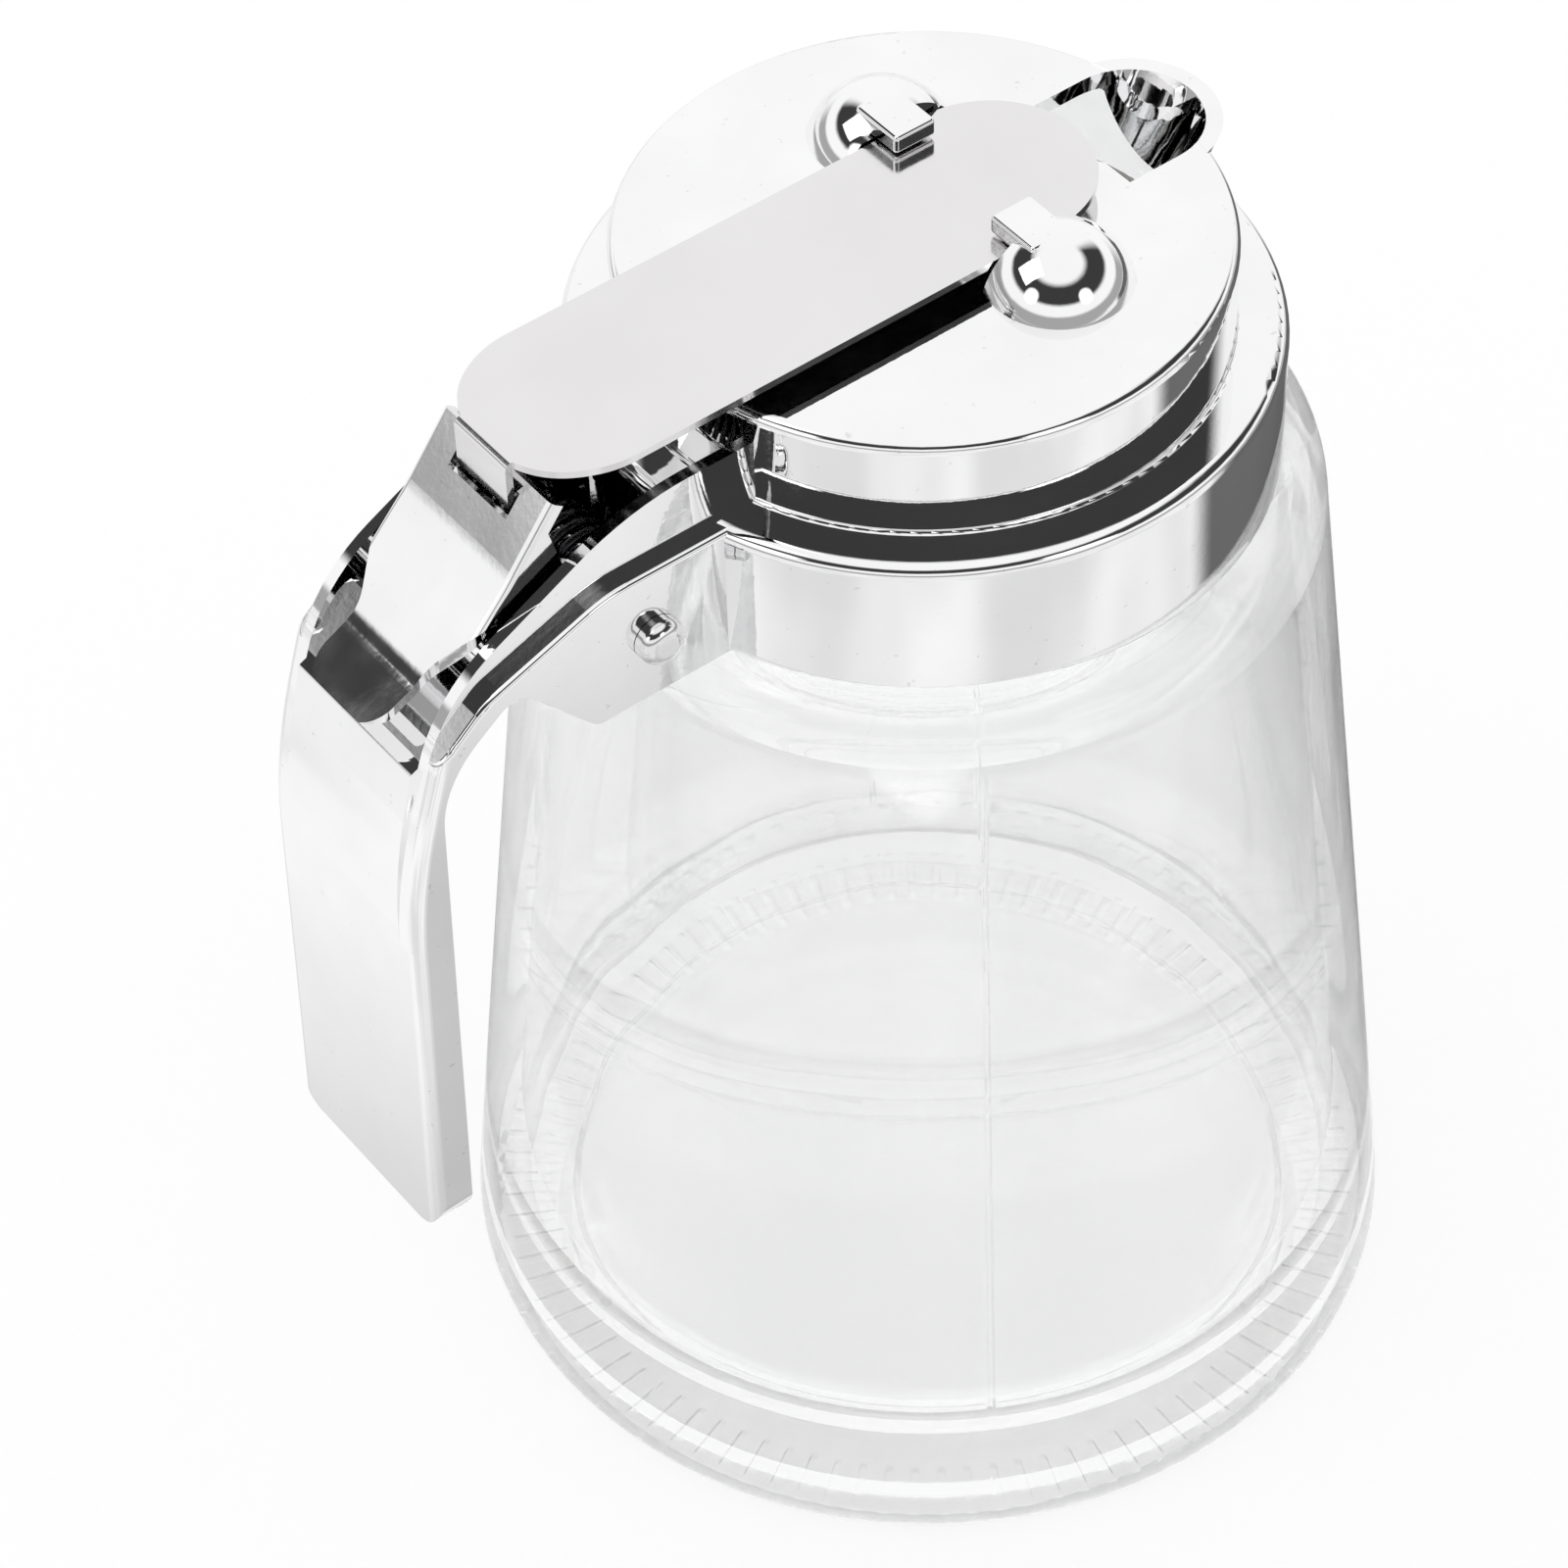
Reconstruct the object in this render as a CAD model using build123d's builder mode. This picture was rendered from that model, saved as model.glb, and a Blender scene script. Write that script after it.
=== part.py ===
from build123d import *
import os
from math import atan2, cos, pi, radians, sin, sqrt

# Syrup dispenser: conical glass jar, screw cap with a handle, and a sliding gate worked by a thumb lever.
# Origin at the centre of the jar's foot, +Z up, +X from the handle to the spout. Millimetres.
# The gate is modelled open, with the lever pressed.

# ---- jar ----
JAR_TABLE_R = 46.0          # radius of the cone if it ran down to the table
JAR_SHOULDER_R = 35.3       # radius of the cone at the shoulder
SHOULDER_GAP = 0.4          # shoulder below the lower edge of the collar
HEEL_FILLET = 2.5
SHOULDER_FILLET = 6.0
JAR_WALL = 3.6
FLOOR_Z = 8.0               # inside floor of the jar
FLOOR_FILLET = 8.0
FOOT_RECESS = 1.2           # hollow under the foot
FOOT_RING_W = 6.0           # flat ring that the jar stands on
NECK_WALL = 3.6
NECK_BLEND = 7.0            # height of the inside slope from body to neck
FOOT_FILLET = 0.5
NECK_FOOT_FILLET = 0.4
RIM_FILLET = 0.8

# ---- cap ----
CAP_TOP = 127.0             # top of the disc above the table
DISC_R = 27.0
CAP_WALL = 1.4
STEP_DROP = 9.7             # disc top down to the step
COLLAR_R = 31.6
COLLAR_DROP = 23.8          # disc top down to the collar's lower edge
DISC_FILLET = 1.0
COLLAR_FILLET = 1.2
STEP_FILLET = 0.4
LIP_FILLET = 0.2            # collar's lower edge, inside
GASKET_T = 1.6
GASKET_GAP = 0.1            # between gasket and glass rim
GASKET_SIDE_GAP = 0.3       # between gasket and collar bore

# ---- screw thread between jar and cap ----
THREAD_ROOM = 2.2           # between the jar's neck and the collar's bore
THREAD_PITCH = 4.0
THREAD_TURNS = 1.0
THREAD_ROOT_W = 2.0
THREAD_CREST_W = 0.9
THREAD_TIP_GAP = 0.6        # tip of each ridge to the wall across from it
CAP_THREAD_RISE = 1.3       # lower end of the cap's thread above the collar's lower edge
THREAD_SINK = 0.5           # how deep a thread's root lies in its wall

# ---- spout ----
POUR_REAR_X = 17.5
POUR_HALF_W = 6.5
POUR_ROUND_X = 23.1         # centre of the round end
POUR_DEPTH = 9.4
POUR_LEAN = 4.6             # the round end moves back by this over the depth
POUR_NARROW = 0.8           # and its radius shrinks by this
SPOUT_WALL = 1.5

# ---- slide gate ----
GATE_T = 0.7
GATE_LIFT = 1.8             # underside of the gate above the disc
GATE_HALF_W = 9.2
GATE_ROUND_X = 7.4          # centre of the round front end, gate open
TAIL_BACK = 14.5            # outer face of the bent-down tail, behind the collar
GATE_NARROWS = 9.2          # length over which the gate narrows to the tail
GATE_CORNER_W = 8.2         # half width where it has narrowed by GATE_CORNER_L
GATE_CORNER_L = 4.2
TAIL_HALF_W = 3.6
TAIL_DROP = 2.4             # tail's lower end below the disc top
TAIL_BEND_R = 0.75          # outside radius of the bend

# ---- domes that hold the gate down ----
DOME_X = 5.0
DOME_Y = 12.0
DOME_BASE_R = 6.6
DOME_H = 4.8
GATE_SIDE_GAP = 0.2
TAB_GAP = 0.25              # tab above the gate
TAB_REACH_Y = 6.3
TAB_W = 4.4
TAB_T = 1.85
TAB_CENTRE_X = 4.3
TAB_FILLET = 0.4

# ---- bracket and handle ----
WEB_INNER_Y = 8.2
WEB_T = 1.1                 # upper part of the web
SIDE_PROUD = 1.4            # lower part and handle's sides stand out from it by this
PLATE_T = 1.3
BRACKET_TOP_DROP = 3.0
BRACKET_TOP_BACK = 6.5      # where the upper edge turns down, behind the collar
BRACKET_TOP_R = 25.0
SLOPE_BACK = 26.2           # where the sloping upper edge meets the handle's back
SLOPE_DROP = 13.3
SLOPE_R = 16.0
BACK_BEND_DROP = 31.5       # where the handle's back becomes straight
BACK_BEND_R = 60.0
ARCH_BACK = 19.5            # top of the arch over the fingers
ARCH_DROP = 14.8
ARCH_R = 2.5
ARCH_FOOT_BACK = 12.0       # where the arch leaves the level of the collar's edge
ARCH_FOOT_R = 1.5
FRONT_BEND_DROP = 21.0      # where the arch meets the handle's front
FRONT_BEND_R = 10.0
LEDGE_BELOW_STEP = 0.1
LEDGE_TOP_BACK = 10.0       # where the level part of the ledge ends, behind the collar
LEDGE_TOP_R = 12.0
LEDGE_BEND_BACK = 22.5
LEDGE_BEND_DROP = 14.3
LEDGE_BEND_R = 8.0
LEDGE_END_BACK = 29.2       # the ledge runs out at the handle's back, just before this
LEDGE_END_DROP = 20.0
LEDGE_FILLET = 0.5
WEB_SINK = 0.4              # how deep the webs are rooted in the cap
FLOOR_BEND_BACK = 29.7      # underside of the trough's floor, where it meets the back plate
FLOOR_BEND_DROP = 23.2
FLOOR_BEND_R = 3.0
PLATE_BEND_DROP = 34.0
PLATE_BEND_R = 40.0
FLOOR_EDGE_BACK = 29.1      # upper corners of the trough's floor below the tongue
FLOOR_EDGE_DROP = 20.6
FLOOR_EDGE_RISE = 0.6
FLOOR_EDGE_R = 0.3
FLOOR_ARCH_RISE = 1.56      # floor's upper face above the arch
HANDLE_END_DROP = 76.3
HANDLE_BACK = 32.9          # handle's back face, behind the collar
HANDLE_LEAN = 1.2           # the handle leans back by this, from its bends to its end
HANDLE_DEPTH = 4.0
HANDLE_CORNER_R = 3.0       # lower corners of the handle, seen from behind
HANDLE_EDGE_FILLET = 1.2

# ---- pivot ----
PIN_BACK = 5.6              # pin's axis behind the collar
PIN_DROP = 17.1
PIN_R = 1.8
PIN_FIT = 0.05              # radial clearance of the pin in its holes
PIN_HEAD_R = 2.2
PIN_HEAD_H = 1.9
PIN_HEAD_FILLET = 1.2
PIN_HEAD_GAP = 0.05

# ---- thumb lever ----
LEVER_T = 0.9
LEVER_HALF_W = 7.6
LEVER_TOP_RISE = 0.2        # top edge of the lever above the disc, just under the gate's swing
LEVER_TOP_BACK = 12.89      # and behind the collar
LEVER_TOP_R = 20.0          # bends of the sheet, outer face
TONGUE_BEND_R = 8.0
TONGUE_BEND_BACK = 25.2
TONGUE_BEND_DROP = 14.3
TONGUE_END_BACK = 31.0
TONGUE_END_DROP = 17.3
FLANGE_DEPTH = 1.4
FLANGE_LENGTH = 2.7
ARM_TOP_DROP = 6.8          # where the arm's upper edge starts down to the pin
ARM_TOP_SET = 0.6           # and in front of the lever's top edge
SLOT_HALF_W = 4.1
SLOT_START = 1.2            # lever's top edge to the slot, along the plate
SLOT_LENGTH = 2.5
PLATE_LENGTH = 7.8          # straight part of the plate
ARM_FOOT = 11.6             # where the arm's lower edge leaves the plate
CREASE_FILLET = 0.6
FACE_INSET = 0.7            # arms lie this far behind the plate's outer face, past the crease
EYE_R = 3.6                 # round end of each arm at the pin
TONGUE_START = 21.0         # where the plate starts to narrow, behind the collar
TONGUE_SHOULDER = 3.4       # length over which it narrows
TONGUE_SHOULDER_R = 2.7
TONGUE_HALF_W = 4.9
TONGUE_END_R = 3.0

# ---- return spring ----
WIRE_D = 0.9
COIL_R = 3.5                # centre line of the wire about the pin
COIL_PITCH = 1.35
COIL_TURNS = 6
LEG_GAP = 0.35              # end of a leg to what it leans on
FIXED_LEG_ANGLE = 20.0      # where the coil leaves for the collar, degrees above +X
LEVER_LEG_ANGLE = 86.0      # where the coil leaves for the lever

# ---- worked out from the sizes above ----
STEP_Z = CAP_TOP - STEP_DROP
COLLAR_Z = CAP_TOP - COLLAR_DROP
COLLAR_BORE_R = COLLAR_R - CAP_WALL
NECK_R = COLLAR_BORE_R - THREAD_ROOM
THREAD_H = THREAD_ROOM - THREAD_TIP_GAP
CHAMBER_R = DISC_R - CAP_WALL
SHOULDER_Z = COLLAR_Z - SHOULDER_GAP
GASKET_TOP = STEP_Z - CAP_WALL
NECK_TOP = GASKET_TOP - GASKET_T - GASKET_GAP
NECK_BORE_R = NECK_R - NECK_WALL
SHOULDER_R = min(SHOULDER_FILLET, 0.85 * (JAR_SHOULDER_R - NECK_R))   # as much as the shoulder has room for
GATE_BOTTOM = CAP_TOP + GATE_LIFT
GATE_TOP = GATE_BOTTOM + GATE_T
WEB_OUTER_Y = WEB_INNER_Y + WEB_T
SIDE_OUTER_Y = WEB_OUTER_Y + SIDE_PROUD
PIN_X = -COLLAR_R - PIN_BACK
PIN_Z = CAP_TOP - PIN_DROP
HANDLE_BACK_X = -COLLAR_R - HANDLE_BACK
GATE_TAIL_X = -COLLAR_R - TAIL_BACK
GATE_SHOULDER_X = GATE_TAIL_X + GATE_NARROWS
LEVER_SLOPE = atan2(7.5, 5.7)   # the lever's plate below the horizontal, pressed


def level(drop):
    """Height of a point that lies the given distance below the disc's top."""
    return CAP_TOP - drop


def behind(distance):
    """X of a point that lies the given distance behind the collar."""
    return -COLLAR_R - distance


def edges_at(piece, width):
    """Edges that lie at the given distance from the plane through handle and spout, on either side."""
    return piece.edges().filter_by(lambda edge: abs(abs(edge.center().Y) - width) < 0.001)


def cone_radius(height):
    """Outside radius of the jar's cone at a height."""
    taper = (JAR_TABLE_R - JAR_SHOULDER_R) / SHOULDER_Z
    return JAR_TABLE_R - taper * height


def thread_ridge(radius, facing, start_z):
    """Sweep one trapezoid ridge along the thread's helix; facing is 1 for outward, -1 for inward."""
    path = Helix(THREAD_PITCH, THREAD_PITCH * THREAD_TURNS, radius, center=(0, 0, start_z), mode=Mode.PRIVATE)
    start = Plane(origin=path @ 0, x_dir=(facing, 0, 0), z_dir=path % 0)
    with BuildPart(mode=Mode.PRIVATE) as ridge:
        with BuildSketch(start):
            with BuildLine():
                Polyline(
                    (-THREAD_SINK, -THREAD_ROOT_W / 2),
                    (0, -THREAD_ROOT_W / 2),
                    (THREAD_H, -THREAD_CREST_W / 2),
                    (THREAD_H, THREAD_CREST_W / 2),
                    (0, THREAD_ROOT_W / 2),
                    (-THREAD_SINK, THREAD_ROOT_W / 2),
                    close=True,
                )
            make_face()
        sweep(path=path, is_frenet=True)
    return ridge.part


# ---- glass jar ----
with BuildPart() as glass_jar:
    with BuildSketch(Plane.XZ):
        with BuildLine():
            foot_outer_r = JAR_TABLE_R - HEEL_FILLET
            foot_inner_r = foot_outer_r - FOOT_RING_W
            FilletPolyline(
                (0, FOOT_RECESS),
                (foot_inner_r - FOOT_RECESS, FOOT_RECESS),
                (foot_inner_r, 0),
                (JAR_TABLE_R, 0),
                (JAR_SHOULDER_R, SHOULDER_Z),
                (NECK_R, SHOULDER_Z),
                (NECK_R, NECK_TOP),
                (NECK_BORE_R, NECK_TOP),
                (NECK_BORE_R, SHOULDER_Z),
                (cone_radius(SHOULDER_Z - NECK_BLEND) - JAR_WALL, SHOULDER_Z - NECK_BLEND),
                (cone_radius(FLOOR_Z) - JAR_WALL, FLOOR_Z),
                (0, FLOOR_Z),
                radius=(
                    FOOT_FILLET, FOOT_FILLET, HEEL_FILLET, SHOULDER_R, NECK_FOOT_FILLET,
                    RIM_FILLET, RIM_FILLET, NECK_WALL, NECK_WALL, FLOOR_FILLET,
                ),
            )
            Line((0, FLOOR_Z), (0, FOOT_RECESS))
        make_face()
    revolve(axis=Axis.Z)
    cap_thread_start = COLLAR_Z + CAP_THREAD_RISE
    jar_thread_start = cap_thread_start + THREAD_PITCH / 2
    add(thread_ridge(NECK_R, 1, jar_thread_start))
glass_jar.part.label = "glass_jar"

# ---- gasket: flat ring under the step ----
with BuildPart() as cap_gasket:
    with BuildSketch(Plane.XY.offset(GASKET_TOP)):
        Circle(COLLAR_BORE_R - GASKET_SIDE_GAP)
        Circle(NECK_BORE_R, mode=Mode.SUBTRACT)
    extrude(amount=-GASKET_T)
cap_gasket.part.label = "cap_gasket"


def pour_section(shrink, back, grow, rear):
    """U-shaped outline of the pour opening: straight at the rear, round at the front."""
    radius = POUR_HALF_W - shrink + grow
    centre_x = POUR_ROUND_X - back
    with Locations((centre_x, 0)):
        Circle(radius)
    with Locations(((rear + centre_x) / 2, 0)):
        Rectangle(centre_x - rear, 2 * radius)


def pour_loft(grow, rear, depth):
    """The pour channel, leaning back as it goes down, or its outside when grow is the wall."""
    share = depth / POUR_DEPTH
    with BuildPart(mode=Mode.PRIVATE) as channel:
        with BuildSketch(Plane.XY.offset(CAP_TOP)):
            pour_section(0, 0, grow, rear)
        with BuildSketch(Plane.XY.offset(CAP_TOP - depth)):
            pour_section(POUR_NARROW * share, POUR_LEAN * share, grow, rear)
        loft()
    return channel.part


def web_side():
    """Side outline of one web with the handle's side wall, cap end first."""
    handle_front_x = HANDLE_BACK_X + HANDLE_DEPTH
    root_x = -sqrt((DISC_R - WEB_SINK) ** 2 - SIDE_OUTER_Y**2)
    collar_root_x = -sqrt((COLLAR_R - WEB_SINK) ** 2 - SIDE_OUTER_Y**2)
    FilletPolyline(
        (root_x, level(STEP_DROP + CAP_WALL / 2)),
        (root_x, level(BRACKET_TOP_DROP)),
        (behind(BRACKET_TOP_BACK), level(BRACKET_TOP_DROP)),
        (behind(SLOPE_BACK), level(SLOPE_DROP)),
        (HANDLE_BACK_X + HANDLE_LEAN, level(BACK_BEND_DROP)),
        (HANDLE_BACK_X, level(HANDLE_END_DROP)),
        (handle_front_x, level(HANDLE_END_DROP)),
        (handle_front_x + HANDLE_LEAN, level(FRONT_BEND_DROP)),
        (behind(ARCH_BACK), level(ARCH_DROP)),
        (behind(ARCH_FOOT_BACK), level(COLLAR_DROP)),
        (collar_root_x, level(COLLAR_DROP)),
        (collar_root_x, level(STEP_DROP + CAP_WALL / 2)),
        radius=(
            0, BRACKET_TOP_R, SLOPE_R, BACK_BEND_R, 0, 0, FRONT_BEND_R, ARCH_R, ARCH_FOOT_R, 0,
        ),
    )
    Line((collar_root_x, level(STEP_DROP + CAP_WALL / 2)), (root_x, level(STEP_DROP + CAP_WALL / 2)))


# ---- cap body: one casting with spout, domes, webs and handle ----
with BuildPart() as cap_body:
    with BuildSketch(Plane.XZ):
        with BuildLine():
            FilletPolyline(
                (0, CAP_TOP),
                (DISC_R, CAP_TOP),
                (DISC_R, STEP_Z),
                (COLLAR_R, STEP_Z),
                (COLLAR_R, COLLAR_Z),
                (COLLAR_BORE_R, COLLAR_Z),
                (COLLAR_BORE_R, GASKET_TOP),
                (CHAMBER_R, GASKET_TOP),
                (CHAMBER_R, CAP_TOP - CAP_WALL),
                (0, CAP_TOP - CAP_WALL),
                radius=(
                    DISC_FILLET, STEP_FILLET, COLLAR_FILLET, STEP_FILLET, LIP_FILLET, 0,
                    STEP_FILLET, STEP_FILLET,
                ),
            )
            Line((0, CAP_TOP - CAP_WALL), (0, CAP_TOP))
        make_face()
    revolve(axis=Axis.Z)
    cap_thread = thread_ridge(COLLAR_BORE_R, -1, cap_thread_start)
    add(cap_body.part.fuse(cap_thread, tol=0.001), mode=Mode.REPLACE)   # an exact fuse drops this ridge

    # spout: its wall is added only outside the cylinder, then the channel is cut
    with BuildPart(mode=Mode.PRIVATE) as spout:
        add(pour_loft(SPOUT_WALL, POUR_REAR_X, POUR_DEPTH))
        Cylinder(
            CHAMBER_R + CAP_WALL / 2, CAP_TOP + 1, align=(Align.CENTER, Align.CENTER, Align.MIN),
            mode=Mode.SUBTRACT,
        )
    add(spout.part)
    add(pour_loft(0, POUR_REAR_X, POUR_DEPTH), mode=Mode.SUBTRACT)

    # two domes, cut flat beside the gate, each with a tab over it
    dome_sphere_r = (DOME_BASE_R**2 + DOME_H**2) / (2 * DOME_H)
    for side in (-1, 1):
        with BuildPart(mode=Mode.PRIVATE) as dome:
            with Locations((DOME_X, side * DOME_Y, CAP_TOP + DOME_H - dome_sphere_r)):
                Sphere(dome_sphere_r)
            with Locations((DOME_X, side * DOME_Y, CAP_TOP - CAP_WALL / 2)):
                Box(
                    4 * DOME_BASE_R, 4 * DOME_BASE_R, 4 * DOME_BASE_R,
                    align=(Align.CENTER, Align.CENTER, Align.MAX), mode=Mode.SUBTRACT,
                )
            gate_side = GATE_HALF_W + GATE_SIDE_GAP
            with Locations((DOME_X, 0, CAP_TOP)):
                Box(
                    4 * DOME_BASE_R, 2 * gate_side, DOME_H,
                    align=(Align.CENTER, Align.CENTER, Align.MIN), mode=Mode.SUBTRACT,
                )
            tab_length = DOME_Y - TAB_REACH_Y
            with BuildPart(mode=Mode.PRIVATE) as tab:
                with Locations((TAB_CENTRE_X, side * (TAB_REACH_Y + tab_length / 2), GATE_TOP + TAB_GAP)):
                    Box(TAB_W, tab_length, TAB_T, align=(Align.CENTER, Align.CENTER, Align.MIN))
                fillet(tab.edges(), TAB_FILLET)
            add(tab.part)
        add(dome.part)

    # webs and handle sides: the lower part stands proud, with a ledge just below the level of the step
    for side in (-1, 1):
        with BuildPart(mode=Mode.PRIVATE) as web:
            with BuildSketch(Plane.XZ.offset(side * WEB_INNER_Y)):
                with BuildLine():
                    web_side()
                make_face()
            extrude(amount=side * (WEB_T + SIDE_PROUD))
            with BuildSketch(Plane.XZ.offset(side * WEB_OUTER_Y)):
                with BuildLine():
                    ledge = FilletPolyline(
                        (0, STEP_Z - LEDGE_BELOW_STEP),
                        (behind(LEDGE_TOP_BACK), STEP_Z - LEDGE_BELOW_STEP),
                        (behind(LEDGE_BEND_BACK), level(LEDGE_BEND_DROP)),
                        (behind(LEDGE_END_BACK), level(LEDGE_END_DROP)),
                        radius=(LEDGE_TOP_R, LEDGE_BEND_R),
                    )
                    Polyline(ledge @ 1, (behind(LEDGE_END_BACK), CAP_TOP), (0, CAP_TOP), ledge @ 0)
                make_face()
            extrude(amount=side * (SIDE_PROUD + 1), mode=Mode.SUBTRACT)
            fillet(edges_at(web, SIDE_OUTER_Y).sort_by(Axis.X)[0], HANDLE_EDGE_FILLET)
            fillet(edges_at(web, SIDE_OUTER_Y).sort_by(Axis.Z)[-1], LEDGE_FILLET)
        add(web.part)

    # floor of the trough and back plate of the handle
    with BuildSketch(Plane.XZ):
        with BuildLine():
            floor_root_x = -(COLLAR_R - CAP_WALL / 2)
            lower = FilletPolyline(
                (floor_root_x, level(COLLAR_DROP)),
                (behind(ARCH_FOOT_BACK), level(COLLAR_DROP)),
                (behind(ARCH_BACK), level(ARCH_DROP)),
                (behind(FLOOR_BEND_BACK), level(FLOOR_BEND_DROP)),
                (HANDLE_BACK_X + HANDLE_LEAN + PLATE_T, level(PLATE_BEND_DROP)),
                (HANDLE_BACK_X + PLATE_T, level(HANDLE_END_DROP)),
                radius=(ARCH_FOOT_R, ARCH_R, FLOOR_BEND_R, PLATE_BEND_R),
            )
            upper = FilletPolyline(
                (HANDLE_BACK_X, level(HANDLE_END_DROP)),
                (HANDLE_BACK_X + HANDLE_LEAN, level(BACK_BEND_DROP)),
                (behind(FLOOR_EDGE_BACK), level(FLOOR_EDGE_DROP)),
                (behind(FLOOR_EDGE_BACK - PLATE_T), level(FLOOR_EDGE_DROP - FLOOR_EDGE_RISE)),
                (behind(ARCH_BACK), level(ARCH_DROP - FLOOR_ARCH_RISE)),
                (behind(ARCH_FOOT_BACK - FLOOR_EDGE_RISE), level(COLLAR_DROP - PLATE_T)),
                (floor_root_x, level(COLLAR_DROP - PLATE_T)),
                radius=(BACK_BEND_R, FLOOR_EDGE_R, FLOOR_EDGE_R, ARCH_R + PLATE_T, ARCH_FOOT_R),
            )
            Line(lower @ 1, upper @ 0)
            Line(upper @ 1, lower @ 0)
        make_face()
    extrude(amount=WEB_INNER_Y, both=True)

    # pin hole
    with Locations(Plane(origin=(PIN_X, 0, PIN_Z), z_dir=(0, 1, 0))):
        Cylinder(PIN_R + PIN_FIT, 2 * SIDE_OUTER_Y + 2, mode=Mode.SUBTRACT)

    # round lower corners of the handle
    corner_y = SIDE_OUTER_Y - HANDLE_CORNER_R
    corner_z = level(HANDLE_END_DROP) + HANDLE_CORNER_R
    for side in (-1, 1):
        with BuildSketch(Plane.YZ.offset(HANDLE_BACK_X - 1)):
            with Locations((side * (corner_y + HANDLE_CORNER_R), corner_z - HANDLE_CORNER_R)):
                Rectangle(2 * HANDLE_CORNER_R, 2 * HANDLE_CORNER_R)
            with Locations((side * corner_y, corner_z)):
                Circle(HANDLE_CORNER_R, mode=Mode.SUBTRACT)
        extrude(amount=HANDLE_DEPTH + 2, mode=Mode.SUBTRACT)
cap_body.part.label = "cap_body"

# ---- slide gate: flat sheet with a bent-down tail ----
with BuildPart() as slide_gate:
    with BuildSketch(Plane.XY.offset(GATE_BOTTOM)):
        with BuildLine():
            tail_edge_x = GATE_TAIL_X + TAIL_BEND_R
            Spline(
                (GATE_SHOULDER_X, -GATE_HALF_W),
                (GATE_SHOULDER_X - GATE_CORNER_L, -GATE_CORNER_W),
                (tail_edge_x, -TAIL_HALF_W),
                tangents=((-1, 0), (-0.35, 1)),
            )
            Line((tail_edge_x, -TAIL_HALF_W), (tail_edge_x, TAIL_HALF_W))
            Spline(
                (tail_edge_x, TAIL_HALF_W),
                (GATE_SHOULDER_X - GATE_CORNER_L, GATE_CORNER_W),
                (GATE_SHOULDER_X, GATE_HALF_W),
                tangents=((0.35, 1), (1, 0)),
            )
            Line((GATE_SHOULDER_X, GATE_HALF_W), (GATE_ROUND_X, GATE_HALF_W))
            ThreePointArc(
                (GATE_ROUND_X, GATE_HALF_W), (GATE_ROUND_X + GATE_HALF_W, 0), (GATE_ROUND_X, -GATE_HALF_W),
            )
            Line((GATE_ROUND_X, -GATE_HALF_W), (GATE_SHOULDER_X, -GATE_HALF_W))
        make_face()
    extrude(amount=GATE_T)
    with BuildSketch(Plane.XZ):
        with BuildLine():
            Line((tail_edge_x, GATE_BOTTOM), (tail_edge_x, GATE_TOP))
            RadiusArc((tail_edge_x, GATE_TOP), (GATE_TAIL_X, GATE_TOP - TAIL_BEND_R), -TAIL_BEND_R)
            Polyline(
                (GATE_TAIL_X, GATE_TOP - TAIL_BEND_R),
                (GATE_TAIL_X, level(TAIL_DROP)),
                (GATE_TAIL_X + GATE_T, level(TAIL_DROP)),
                (GATE_TAIL_X + GATE_T, GATE_BOTTOM),
                (tail_edge_x, GATE_BOTTOM),
            )
        make_face()
    extrude(amount=TAIL_HALF_W, both=True)
slide_gate.part.label = "slide_gate"

# ---- thumb lever: bent sheet with two arms down to the pin ----
lever_top = (behind(LEVER_TOP_BACK), level(-LEVER_TOP_RISE))
tongue_bend = (behind(TONGUE_BEND_BACK), level(TONGUE_BEND_DROP))
tongue_end = (behind(TONGUE_END_BACK), level(TONGUE_END_DROP))


def along_plate(distance, inward=0.0):
    """Point on the lever's straight plate: down from its top edge, and inward from its outer face."""
    return (
        lever_top[0] - distance * cos(LEVER_SLOPE) + inward * sin(LEVER_SLOPE),
        lever_top[1] - distance * sin(LEVER_SLOPE) - inward * cos(LEVER_SLOPE),
    )


def lever_face(inward):
    """Side line of the lever's sheet, from its top edge to the tongue's end."""
    return FilletPolyline(
        along_plate(0, inward),
        along_plate(PLATE_LENGTH + inward / 20, inward),
        (tongue_bend[0] + inward / 2, tongue_bend[1] - inward),
        (tongue_end[0], tongue_end[1] - inward),
        radius=(LEVER_TOP_R - inward, TONGUE_BEND_R + inward),
    )


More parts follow.
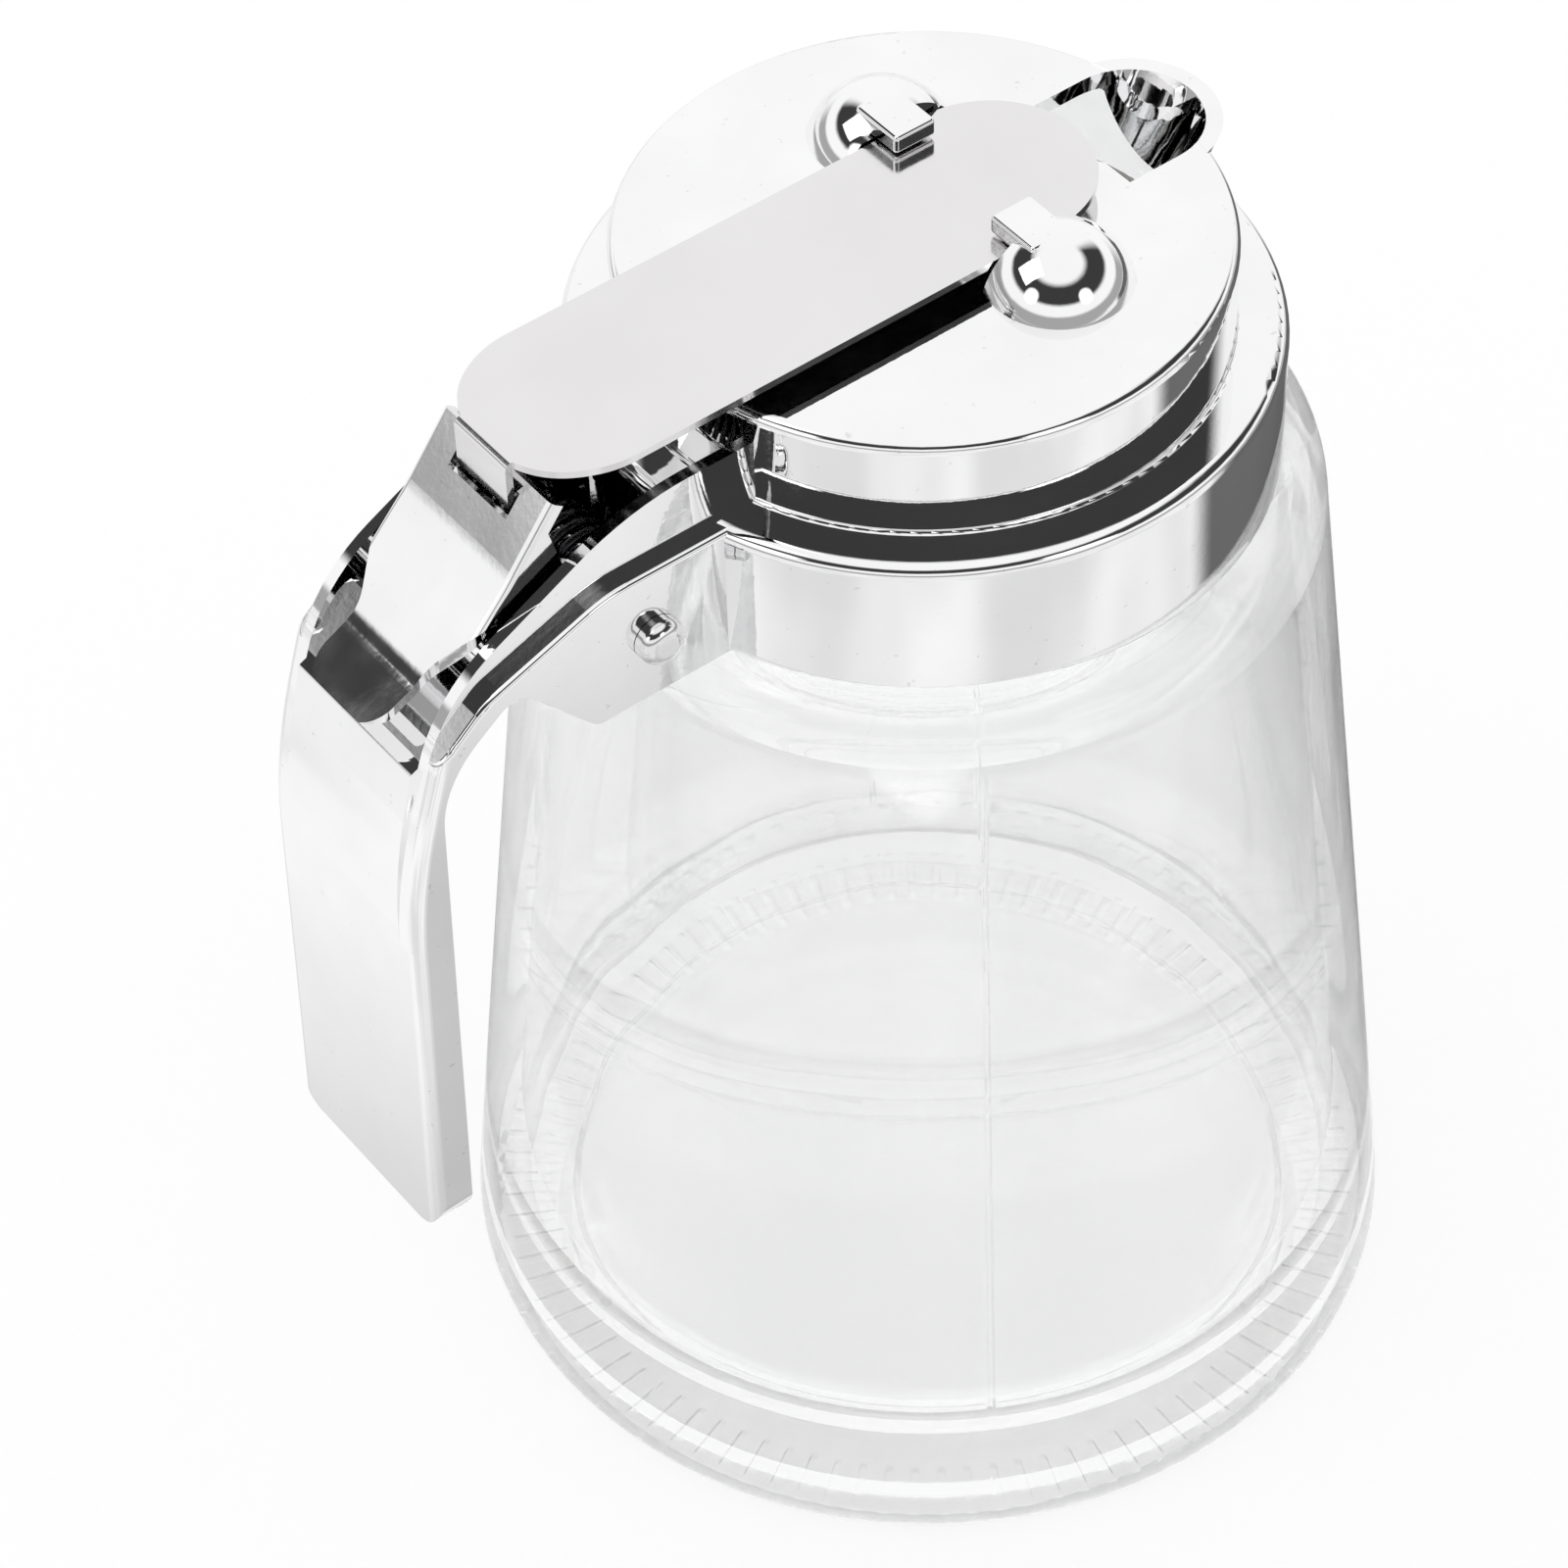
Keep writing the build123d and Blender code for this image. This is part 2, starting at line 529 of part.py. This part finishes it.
with BuildPart() as thumb_lever:
    with BuildSketch(Plane.XZ):
        with BuildLine():
            outer_face = lever_face(0)
            inner_face = lever_face(LEVER_T)
            Line(outer_face @ 0, inner_face @ 0)
            Line(outer_face @ 1, inner_face @ 1)
        make_face()
    extrude(amount=LEVER_HALF_W, both=True)
    along = Axis((0, 0, 0), (cos(LEVER_SLOPE), 0, sin(LEVER_SLOPE)))
    creases = thumb_lever.edges().filter_by(along).sort_by(Axis.X)[:2]
    fillet(creases, CREASE_FILLET)

    # seen from above, the plate narrows to a tongue with a round end
    with BuildSketch(Plane.XY.offset(PIN_Z)):
        with BuildLine():
            FilletPolyline(
                (PIN_X, -LEVER_HALF_W),
                (behind(TONGUE_START), -LEVER_HALF_W),
                (behind(TONGUE_START + TONGUE_SHOULDER), -TONGUE_HALF_W),
                (tongue_end[0], -TONGUE_HALF_W),
                (tongue_end[0], 0),
                radius=(TONGUE_SHOULDER_R, TONGUE_SHOULDER_R, TONGUE_END_R),
            )
            mirror(about=Plane.XZ)
            Line((PIN_X, -LEVER_HALF_W), (PIN_X, LEVER_HALF_W))
        make_face()
    extrude(amount=PIN_DROP + 5, mode=Mode.INTERSECT)

    # arms, with a narrow flange up the edge of the plate
    for side in (-1, 1):
        with BuildSketch(Plane.XZ.offset(side * (LEVER_HALF_W - LEVER_T))):
            with BuildLine():
                Polyline(
                    along_plate(0, FACE_INSET),
                    along_plate(0, FLANGE_DEPTH),
                    along_plate(FLANGE_LENGTH, FLANGE_DEPTH),
                    (lever_top[0] + ARM_TOP_SET, level(ARM_TOP_DROP)),
                    (PIN_X + EYE_R * cos(radians(65)), PIN_Z + EYE_R * sin(radians(65))),
                    (PIN_X, PIN_Z),
                    (PIN_X - EYE_R * cos(radians(52)), PIN_Z - EYE_R * sin(radians(52))),
                    along_plate(ARM_FOOT, LEVER_T),
                    along_plate(PLATE_LENGTH, FACE_INSET),
                    close=True,
                )
            make_face()
            with Locations((PIN_X, PIN_Z)):
                Circle(EYE_R)
                Circle(PIN_R + PIN_FIT, mode=Mode.SUBTRACT)
        extrude(amount=side * LEVER_T)

    # slot for the gate's tail
    slot_centre = along_plate(SLOT_START + SLOT_LENGTH / 2)
    slot_plane = Plane(
        origin=(slot_centre[0], 0, slot_centre[1]), x_dir=(0, 1, 0), z_dir=(-sin(LEVER_SLOPE), 0, cos(LEVER_SLOPE)),
    )
    with BuildSketch(slot_plane):
        Rectangle(2 * SLOT_HALF_W, SLOT_LENGTH)
    extrude(amount=2 * LEVER_T, both=True, mode=Mode.SUBTRACT)
thumb_lever.part.label = "thumb_lever"

# ---- pivot pin with a round head at each end ----
with BuildPart() as pivot_pin:
    with BuildSketch(Plane(origin=(PIN_X, 0, PIN_Z), x_dir=(1, 0, 0), z_dir=(0, 0, 1))):
        with BuildLine():
            head_y = SIDE_OUTER_Y + PIN_HEAD_GAP
            half = FilletPolyline(
                (0, 0),
                (PIN_R, 0),
                (PIN_R, head_y),
                (PIN_HEAD_R, head_y),
                (PIN_HEAD_R, head_y + PIN_HEAD_H),
                (0, head_y + PIN_HEAD_H),
                radius=(0, 0, 0, PIN_HEAD_FILLET),
            )
            Line(half @ 1, half @ 0)
        make_face()
    revolve(axis=Axis((PIN_X, 0, PIN_Z), (0, 1, 0)))
    mirror(about=Plane.XZ)
pivot_pin.part.label = "pivot_pin"

# ---- return spring: coiled on the pin, one leg on the collar, one under the tongue ----


def coil_point(angle):
    """Point and direction of the wire's centre line at an angle about the pin, in radians."""
    travelled = (angle - coil_start) / (2 * pi)
    centre_y = COIL_PITCH * (COIL_TURNS + (LEVER_LEG_ANGLE - FIXED_LEG_ANGLE) / 360) / 2
    point = Vector(PIN_X + COIL_R * cos(angle), centre_y - COIL_PITCH * travelled, PIN_Z + COIL_R * sin(angle))
    direction = Vector(-COIL_R * sin(angle), -COIL_PITCH / (2 * pi), COIL_R * cos(angle)).normalized()
    return point, direction


def biarc(start, start_dir, end, end_dir):
    """Two arcs from start to end that share a tangent where they meet."""
    chord = end - start
    both = start_dir + end_dir
    spread = 2 * (1 - start_dir.dot(end_dir))
    reach = (-chord.dot(both) + sqrt(chord.dot(both) ** 2 + spread * chord.dot(chord))) / spread
    knee_a = start + start_dir * reach
    knee_b = end - end_dir * reach
    joint = (knee_a + knee_b) / 2
    TangentArc(start, joint, tangent=start_dir)
    TangentArc(joint, end, tangent=knee_b - knee_a)


coil_start = radians(FIXED_LEG_ANGLE)
coil_end = radians(LEVER_LEG_ANGLE) + 2 * pi * COIL_TURNS
quarters = round((coil_end - coil_start) / (pi / 2))
first, first_dir = coil_point(coil_start)
last, last_dir = coil_point(coil_end)
collar_face_x = -sqrt(COLLAR_R**2 - first.Y**2)
fixed_leg = (collar_face_x - LEG_GAP - WIRE_D / 2 - first.X) / -first_dir.X
# where the lever's leg would meet the underside of the plate
under_a = Vector(*along_plate(PLATE_LENGTH, LEVER_T))
under_b = Vector(tongue_bend[0] + LEVER_T / 2, tongue_bend[1] - LEVER_T)
under_dir = (under_b - under_a).normalized()
leg_dir = Vector(last_dir.X, last_dir.Z)
offset_to = under_a - Vector(last.X, last.Z)
crossing = leg_dir.X * under_dir.Y - leg_dir.Y * under_dir.X
lever_leg = (offset_to.X * under_dir.Y - offset_to.Y * under_dir.X) / crossing
lever_leg -= (LEG_GAP + WIRE_D / 2) / abs(crossing)

with BuildPart() as return_spring:
    with BuildLine() as wire_path:
        Line(first - first_dir * fixed_leg, first)
        for quarter in range(quarters):
            step = (coil_end - coil_start) / quarters
            here, here_dir = coil_point(coil_start + quarter * step)
            there, there_dir = coil_point(coil_start + (quarter + 1) * step)
            biarc(here, here_dir, there, there_dir)
        Line(last, last + last_dir * lever_leg)
    with BuildSketch(Plane(origin=wire_path.line @ 0, z_dir=wire_path.line % 0)):
        Circle(WIRE_D / 2)
    sweep(path=wire_path.wire())
return_spring.part.label = "return_spring"

wire = wire_path.wire()
samples = [wire.position_at(count / 600) for count in range(601)]
apart = round(600 * pi * COIL_R / wire.length)
least = min(
    (samples[one] - samples[other]).length
    for one in range(601)
    for other in range(one + apart, 601)
)
print(f"return spring: wire {wire.length:.1f} mm long, least gap between turns {least - WIRE_D:.2f} mm")
print(f"return spring: legs {fixed_leg:.1f} and {lever_leg:.1f} mm")

os.makedirs("parts", exist_ok=True)
for piece in (glass_jar, cap_gasket, cap_body, slide_gate, thumb_lever, pivot_pin, return_spring):
    export_step(piece.part, f"parts/{piece.part.label}.step")
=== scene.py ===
import math

import bpy
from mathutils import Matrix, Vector

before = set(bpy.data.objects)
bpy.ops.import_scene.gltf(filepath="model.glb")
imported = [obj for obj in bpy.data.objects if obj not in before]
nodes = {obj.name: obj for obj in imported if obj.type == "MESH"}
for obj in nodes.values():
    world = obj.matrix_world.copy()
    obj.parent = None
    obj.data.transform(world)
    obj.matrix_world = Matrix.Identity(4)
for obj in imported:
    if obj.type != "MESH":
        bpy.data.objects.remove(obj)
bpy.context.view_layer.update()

# Metres, in the frame of the CAD model. Heights of directions are the Z of a unit vector.

# ---- camera ----
CAMERA_PLACE = (-0.21072, -0.26518, 0.42339)
CAMERA_TURN = (0.747049, 0.022498, -0.656266)
CAMERA_LENS = 120.85
CAMERA_SENSOR = 36.0
CAMERA_NEAR = 0.01
FORWARD = (0.62, 0.785)                     # level direction that the camera looks in
RIGHTWARD = (FORWARD[1], -FORWARD[0])

# ---- glass ----
SEAM_ANGLE = math.radians(-120.5)           # one of the two seams of the mould, about the jar's axis
SEAM_HALF_WIDTH = 0.00035
SEAM_FOOT = (0.004, 0.008)                  # heights between which the seam fades in
TICK_COUNT = 96
TICK_EDGE = (0.2, 0.9)                      # part of each wave that is a tick
TICK_RING = (0.0382, 0.0430)                # inner and outer radius
TICK_RING_SOFT = 0.0006
TICK_TOP = (0.003, 0.001)                   # heights between which the ticks fade in, downwards
GLASS_IOR = 1.5
GLASS_ALPHA = 0.7

# ---- floor ----
FLOOR_HALF = 6.0
FLOOR_Z = -0.0002
FLOOR_GLOW = 0.85                           # share of plain white that the camera sees, the rest has shadow
# The floor as the metal mirrors it has painted shade near the jar, a painted mottle and a painted dark
# patch.
MIRROR_NEAR, MIRROR_FAR = 0.055, 0.14       # distances between which the mirrored floor brightens out of its painted shade near the jar
MIRROR_PAINTED_SHADE_LEVEL = 0.55
MIRROR_JAR_EDGE = 0.048                     # nearer than this, under the jar, it is white
MIRROR_PAINTED_MOTTLE_LEVEL = 0.78
PATCH_TOWARDS = (0.99, -0.14)               # level direction of the painted dark patch, a painted reflection that only the metal shows
PATCH_SPREAD = (0.80, 0.90)
PATCH_START = (0.04, 0.08)
PATCH_DEPTH = 0.85
STREAK = (0.10, 0.20)                       # painted shade: a grey streak on the floor, seen through the glass only, right of the jar
STREAK_SOFT = 0.03
STREAK_END = (0.32, 0.22)
STREAK_DEPTH = 0.6

# ---- studio, as mirrored rays see it ----
DARK_BAND = (0.47, 0.83)
DARK_BAND_SOFT = 0.05
DARK_BAND_SIDES = (0.86, 0.62)              # the band is open straight ahead of the camera
DARK_BAND_DEPTH = 0.955
LOW_BAND = (-0.02, 0.20)
LOW_BAND_SOFT = 0.04
LOW_BAND_SIDES = (0.9, 0.5)
LOW_BAND_DEPTH = 0.6
LAMP_TURNS = (-48.0, 46.0)                  # degrees from straight behind the camera
LAMP_RISE = 0.62
LAMP_INNER, LAMP_OUTER = 7.0, 12.0          # half angles of full and of no light, in degrees
LAMP_STRENGTH = 1.4

# ---- key light ----
KEY_PLACE = (-0.5, 0.3, 0.9)
KEY_AIM = (0, 0, 0.06)
KEY_SIZE = 0.5
KEY_ENERGY = 1.0

RAMP_ENDS = (0.3, 0.7)                      # a noise stays mostly between these
NOT_ZERO = 0.001                            # least divisor


class Tree:
    """Builds a shader tree with short calls; plain numbers go straight into the sockets."""

    def __init__(self, node_tree):
        self.tree = node_tree
        self.tree.nodes.clear()

    def add(self, kind, settings=None, **sockets):
        """A socket's name has _ for each space."""
        node = self.tree.nodes.new(kind)
        for name, value in (settings or {}).items():
            setattr(node, name, value)
        for name, value in sockets.items():
            self.put(node.inputs[name.replace("_", " ")], value)
        return node

    def put(self, socket, value):
        if isinstance(value, bpy.types.NodeSocket):
            self.tree.links.new(value, socket)
        else:
            socket.default_value = value

    def math(self, operation, first, second=None, clamp=False):
        node = self.add("ShaderNodeMath", {"operation": operation, "use_clamp": clamp})
        self.put(node.inputs[0], first)
        if second is not None:
            self.put(node.inputs[1], second)
        return node.outputs[0]

    def times(self, first, second):
        return self.math("MULTIPLY", first, second)

    def minus(self, first, second, clamp=False):
        return self.math("SUBTRACT", first, second, clamp)

    def length(self, x, y):
        return self.math("SQRT", self.math("ADD", self.times(x, x), self.times(y, y)))

    def along(self, x, y, direction):
        """How far x, y reaches in a level direction."""
        return self.math("ADD", self.times(x, direction[0]), self.times(y, direction[1]))

    def smooth(self, value, start, end, low=0.0, high=1.0):
        """low at start, high at end, and a smooth change between them, in either direction."""
        flip = start > end
        node = self.add("ShaderNodeMapRange", {"interpolation_type": "SMOOTHSTEP"}, Value=value)
        node.inputs["From Min"].default_value = end if flip else start
        node.inputs["From Max"].default_value = start if flip else end
        node.inputs["To Min"].default_value = high if flip else low
        node.inputs["To Max"].default_value = low if flip else high
        return node.outputs["Result"]

    def band(self, value, low, high, soft):
        """1 between low and high, falling to 0 over soft on each side."""
        up = self.smooth(value, low - soft, low + soft)
        down = self.smooth(value, high + soft, high - soft)
        return self.times(up, down)

    def mix(self, factor, without, with_it):
        node = self.add("ShaderNodeMix", {"data_type": "FLOAT"})
        self.put(node.inputs["Factor"], factor)
        self.put(node.inputs["A"], without)
        self.put(node.inputs["B"], with_it)
        return node.outputs["Result"]

    def noise(self, vector, scale, detail=2.0, roughness=0.5):
        node = self.add("ShaderNodeTexNoise", Vector=vector, Scale=scale, Detail=detail, Roughness=roughness)
        return node.outputs["Fac"]

    def bump(self, height, strength, distance, normal=None):
        node = self.add("ShaderNodeBump", Strength=strength, Distance=distance, Height=height)
        if normal is not None:
            self.put(node.inputs["Normal"], normal)
        return node.outputs["Normal"]

    def tone(self, value, dark, light):
        node = self.add("ShaderNodeValToRGB", Fac=value)
        for element, place, colour in zip(node.color_ramp.elements, RAMP_ENDS, (dark, light)):
            element.position = place
            element.color = (*colour, 1.0)
        return node.outputs["Color"]

    def object_position(self):
        return self.add("ShaderNodeTexCoord").outputs["Object"]


# ---- materials ----
def material(name):
    made = bpy.data.materials.new(name)
    made.use_nodes = True
    tree = Tree(made.node_tree)
    out = tree.add("ShaderNodeOutputMaterial")
    shader = tree.add("ShaderNodeBsdfPrincipled")
    tree.put(out.inputs["Surface"], shader.outputs[0])
    return made, tree, shader


def metal(name, dark, light, rough, wave, grain, speck=0.0):
    """Metal with a slightly uneven mirror surface, a fine grain and sparse dark specks."""
    made, tree, shader = material(name)
    place = tree.object_position()
    colour = tree.tone(tree.noise(place, scale=90.0, detail=3.0), dark, light)
    if speck:
        spots = tree.noise(place, scale=900.0, roughness=0.6)
        mixed = tree.add("ShaderNodeMix", {"data_type": "RGBA", "blend_type": "MULTIPLY"})
        mixed.inputs["Factor"].default_value = 1.0
        tree.put(mixed.inputs["A"], colour)
        tree.put(mixed.inputs["B"], tree.smooth(spots, 0.70, 0.76, 1.0, 1.0 - speck))
        colour = mixed.outputs["Result"]
    tree.put(shader.inputs["Base Color"], colour)
    shader.inputs["Metallic"].default_value = 1.0
    haze = tree.noise(place, scale=260.0, detail=3.0)
    tree.put(shader.inputs["Roughness"], tree.smooth(haze, 0.3, 0.75, rough, rough * 1.8))
    swell = tree.noise(place, scale=55.0, detail=1.0, roughness=0.4)
    normal = tree.bump(swell, strength=wave, distance=0.0006)
    fine = tree.noise(place, scale=1500.0)
    tree.put(shader.inputs["Normal"], tree.bump(fine, strength=grain, distance=0.00004, normal=normal))
    return made


def rubber():
    made, tree, shader = material("seal_look")
    place = tree.object_position()
    cloud = tree.noise(place, scale=200.0, detail=3.0)
    tree.put(shader.inputs["Base Color"], tree.tone(cloud, (0.70, 0.69, 0.65), (0.76, 0.75, 0.71)))
    tree.put(shader.inputs["Roughness"], tree.smooth(cloud, 0.3, 0.7, 0.5, 0.62))
    fine = tree.noise(place, scale=2500.0)
    tree.put(shader.inputs["Normal"], tree.bump(fine, strength=0.2, distance=0.00004))
    return made


def glass():
    """Clear pressed glass: slow waves, a mould seam on two sides, and short ticks around the foot."""
    made, tree, shader = material("glass_look")
    place = tree.object_position()
    x, y, z = tree.add("ShaderNodeSeparateXYZ", Vector=place).outputs
    angle = tree.math("ARCTAN2", y, x)
    radius = tree.length(x, y)

    flattened = tree.add("ShaderNodeMapping", Vector=place, Scale=(1.0, 1.0, 0.55)).outputs["Vector"]
    swell = tree.noise(flattened, scale=26.0, roughness=0.45)
    normal = tree.bump(swell, strength=0.5, distance=0.0010)

    # mould seam: a fine ridge on two opposite sides
    off = tree.math("SINE", tree.minus(angle, SEAM_ANGLE))
    across = tree.times(tree.math("ABSOLUTE", off), radius)
    seam = tree.times(tree.smooth(across, SEAM_HALF_WIDTH, 0.0), tree.smooth(z, *SEAM_FOOT))
    normal = tree.bump(seam, strength=0.8, distance=0.00012, normal=normal)

    # ticks on the ring that the jar stands on
    wave = tree.math("SINE", tree.times(angle, float(TICK_COUNT)))
    ring = tree.times(tree.band(radius, *TICK_RING, TICK_RING_SOFT), tree.smooth(z, *TICK_TOP))
    ticks = tree.times(tree.smooth(wave, *TICK_EDGE), ring)
    normal = tree.bump(ticks, strength=0.4, distance=0.00015, normal=normal)
    tree.put(shader.inputs["Normal"], normal)

    cloud = tree.noise(place, scale=30.0)
    tree.put(shader.inputs["Base Color"], tree.tone(cloud, (0.982, 0.992, 0.988), (0.994, 0.998, 0.996)))
    shader.inputs["Roughness"].default_value = 0.0
    shader.inputs["IOR"].default_value = GLASS_IOR
    shader.inputs["Transmission Weight"].default_value = 1.0
    shader.inputs["Alpha"].default_value = GLASS_ALPHA
    return made


LOOKS = {
    "cap_body": metal(
        "chrome_casting_look", (0.90, 0.90, 0.905), (0.95, 0.95, 0.955),
        rough=0.02, wave=0.10, grain=0.06, speck=0.15,
    ),
    "slide_gate": metal(
        "gate_sheet_look", (0.79, 0.777, 0.780), (0.82, 0.807, 0.810),
        rough=0.10, wave=0.05, grain=0.12,
    ),
    "thumb_lever": metal(
        "lever_sheet_look", (0.86, 0.86, 0.865), (0.93, 0.93, 0.93),
        rough=0.06, wave=0.20, grain=0.12, speck=0.15,
    ),
    "pivot_pin": metal(
        "pin_steel_look", (0.80, 0.80, 0.805), (0.88, 0.88, 0.885),
        rough=0.06, wave=0.15, grain=0.2,
    ),
    "return_spring": metal(
        "spring_steel_look", (0.03, 0.03, 0.032), (0.06, 0.06, 0.065),
        rough=0.14, wave=0.0, grain=0.2,
    ),
    "cap_gasket": rubber(),
    "glass_jar": glass(),
}
for node_name, look in LOOKS.items():
    for slot in nodes[node_name].material_slots:
        slot.link = "OBJECT"
        slot.material = look


# ---- floor ----
def mirrored_floor_painted_shade(tree, place, east, north, reach):
    """What the chrome mirrors of the floor, with painted shade: greyer near the jar, a painted mottle, and a
    painted dark patch beside it.
    """
    # painted shade: the mirrored floor is greyer near the jar and white under it
    lit = tree.smooth(reach, MIRROR_NEAR, MIRROR_FAR, MIRROR_PAINTED_SHADE_LEVEL, 1.0)
    lit = tree.math("MAXIMUM", lit, tree.smooth(reach, MIRROR_NEAR, MIRROR_JAR_EDGE))
    # painted mottle in what the metal mirrors
    cloud = tree.noise(place, scale=9.0)
    lit = tree.times(lit, tree.smooth(cloud, 0.35, 0.6, MIRROR_PAINTED_MOTTLE_LEVEL, 1.0))
    # painted dark patch beside the jar, seen only in the metal
    toward = tree.along(east, north, PATCH_TOWARDS)
    toward = tree.math("DIVIDE", toward, tree.math("MAXIMUM", reach, NOT_ZERO))
    painted_dark_patch = tree.times(tree.smooth(toward, *PATCH_SPREAD), tree.smooth(reach, *PATCH_START))
    return tree.times(lit, tree.minus(1.0, tree.times(painted_dark_patch, PATCH_DEPTH)))


def floor_material():
    """Pale paper with shadow for the camera; light for what the metal and the glass show of it, with painted
    shade near the jar, a painted mottle and a painted dark patch in what the metal mirrors, and a painted
    grey streak in what the glass shows.
    """
    look = bpy.data.materials.new("floor_look")
    look.use_nodes = True
    tree = Tree(look.node_tree)
    place = tree.object_position()
    paper = tree.add("ShaderNodeBsdfDiffuse")
    cloud = tree.noise(place, scale=4.0)
    tree.put(paper.inputs["Color"], tree.tone(cloud, (0.93, 0.93, 0.93), (0.95, 0.95, 0.95)))

    rays = tree.add("ShaderNodeLightPath")
    refracted = rays.outputs["Is Transmission Ray"]
    mirrored = tree.minus(rays.outputs["Is Glossy Ray"], refracted, clamp=True)
    share = tree.math(
        "MAXIMUM",
        tree.math("MAXIMUM", refracted, rays.outputs["Is Glossy Ray"]),
        tree.times(rays.outputs["Is Camera Ray"], FLOOR_GLOW),
    )

    spot = tree.add("ShaderNodeSeparateXYZ", Vector=place)
    east, north = spot.outputs["X"], spot.outputs["Y"]
    reach = tree.length(east, north)
    # painted shade: a grey streak on the floor that only refracted rays see
    painted_streak = tree.band(tree.along(east, north, RIGHTWARD), *STREAK, STREAK_SOFT)
    painted_streak = tree.times(painted_streak, tree.smooth(reach, *STREAK_END))
    painted_streak = tree.times(tree.times(painted_streak, refracted), STREAK_DEPTH)
    lit = mirrored_floor_painted_shade(tree, place, east, north, reach)
    # Emission for mirrored and refracted rays: light with painted shade, mottle and dark patch for the
    # metal, and the painted grey streak for the glass
    glow = tree.add("ShaderNodeEmission")
    tree.put(glow.inputs["Strength"], tree.mix(mirrored, tree.minus(1.0, painted_streak), lit))

    both = tree.add("ShaderNodeMixShader")
    tree.put(both.inputs[0], share)
    tree.put(both.inputs[1], paper.outputs[0])
    tree.put(both.inputs[2], glow.outputs[0])
    out = tree.add("ShaderNodeOutputMaterial")
    tree.put(out.inputs["Surface"], both.outputs[0])
    return look


floor_mesh = bpy.data.meshes.new("floor")
corners = [(x * FLOOR_HALF, y * FLOOR_HALF, 0) for x, y in ((-1, -1), (1, -1), (1, 1), (-1, 1))]
floor_mesh.from_pydata(corners, [], [(0, 1, 2, 3)])
floor_mesh.materials.append(floor_material())
floor = bpy.data.objects.new("floor", floor_mesh)
bpy.context.scene.collection.objects.link(floor)
floor.location.z = FLOOR_Z


# ---- studio ----
def lobe(tree, direction, towards):
    """1 near a direction and 0 away from it."""
    node = tree.add("ShaderNodeVectorMath", {"operation": "DOT_PRODUCT"})
    tree.put(node.inputs[0], direction)
    length = math.sqrt(sum(part * part for part in towards))
    node.inputs[1].default_value = [part / length for part in towards]
    outer, inner = (math.cos(math.radians(angle)) for angle in (LAMP_OUTER, LAMP_INNER))
    return tree.smooth(node.outputs["Value"], outer, inner)


def studio_world():
    """White all round. Mirrored rays also see a dark band, a low grey band and two lamps."""
    world = bpy.data.worlds.new("studio")
    world.use_nodes = True
    tree = Tree(world.node_tree)
    out = tree.add("ShaderNodeOutputWorld")
    background = tree.add("ShaderNodeBackground")
    background.inputs["Color"].default_value = (1.0, 1.0, 1.0, 1.0)
    tree.put(out.inputs["Surface"], background.outputs[0])

    direction = tree.add("ShaderNodeTexCoord").outputs["Generated"]
    parts = tree.add("ShaderNodeSeparateXYZ", Vector=direction)
    height = parts.outputs["Z"]
    level = tree.math("SQRT", tree.minus(1.0, tree.times(height, height), clamp=True))
    ahead = tree.along(parts.outputs["X"], parts.outputs["Y"], FORWARD)
    ahead = tree.math("DIVIDE", ahead, tree.math("MAXIMUM", level, NOT_ZERO))

    dark = tree.band(height, *DARK_BAND, DARK_BAND_SOFT)
    dark = tree.times(dark, tree.smooth(ahead, *DARK_BAND_SIDES))
    studio = tree.minus(1.0, tree.times(dark, DARK_BAND_DEPTH))
    low = tree.band(height, *LOW_BAND, LOW_BAND_SOFT)
    low = tree.times(low, tree.smooth(ahead, *LOW_BAND_SIDES))
    studio = tree.minus(studio, tree.times(low, LOW_BAND_DEPTH), clamp=True)
    for turn in LAMP_TURNS:
        cos, sin = math.cos(math.radians(turn)), math.sin(math.radians(turn))
        towards = (
            -FORWARD[0] * cos + FORWARD[1] * sin,
            -FORWARD[0] * sin - FORWARD[1] * cos,
            LAMP_RISE,
        )
        lamp = lobe(tree, direction, towards)
        studio = tree.math("ADD", studio, tree.times(lamp, LAMP_STRENGTH))

    mirrored = tree.add("ShaderNodeLightPath").outputs["Is Glossy Ray"]
    tree.put(background.inputs["Strength"], tree.mix(mirrored, 1.0, studio))
    return world


def key_light():
    lamp = bpy.data.lights.new("key", "AREA")
    lamp.shape = "RECTANGLE"
    lamp.size = lamp.size_y = KEY_SIZE
    lamp.energy = KEY_ENERGY
    holder = bpy.data.objects.new("key", lamp)
    holder.location = KEY_PLACE
    holder.rotation_euler = (Vector(KEY_AIM) - Vector(KEY_PLACE)).to_track_quat("-Z", "Y").to_euler()
    bpy.context.scene.collection.objects.link(holder)


bpy.context.scene.world = studio_world()
key_light()

camera_data = bpy.data.cameras.new("camera")
camera_data.sensor_width = CAMERA_SENSOR
camera_data.lens = CAMERA_LENS
camera_data.clip_start = CAMERA_NEAR
camera = bpy.data.objects.new("camera", camera_data)
camera.location = CAMERA_PLACE
camera.rotation_euler = CAMERA_TURN
bpy.context.scene.collection.objects.link(camera)
bpy.context.scene.camera = camera
bpy.context.scene.view_settings.view_transform = "Standard"
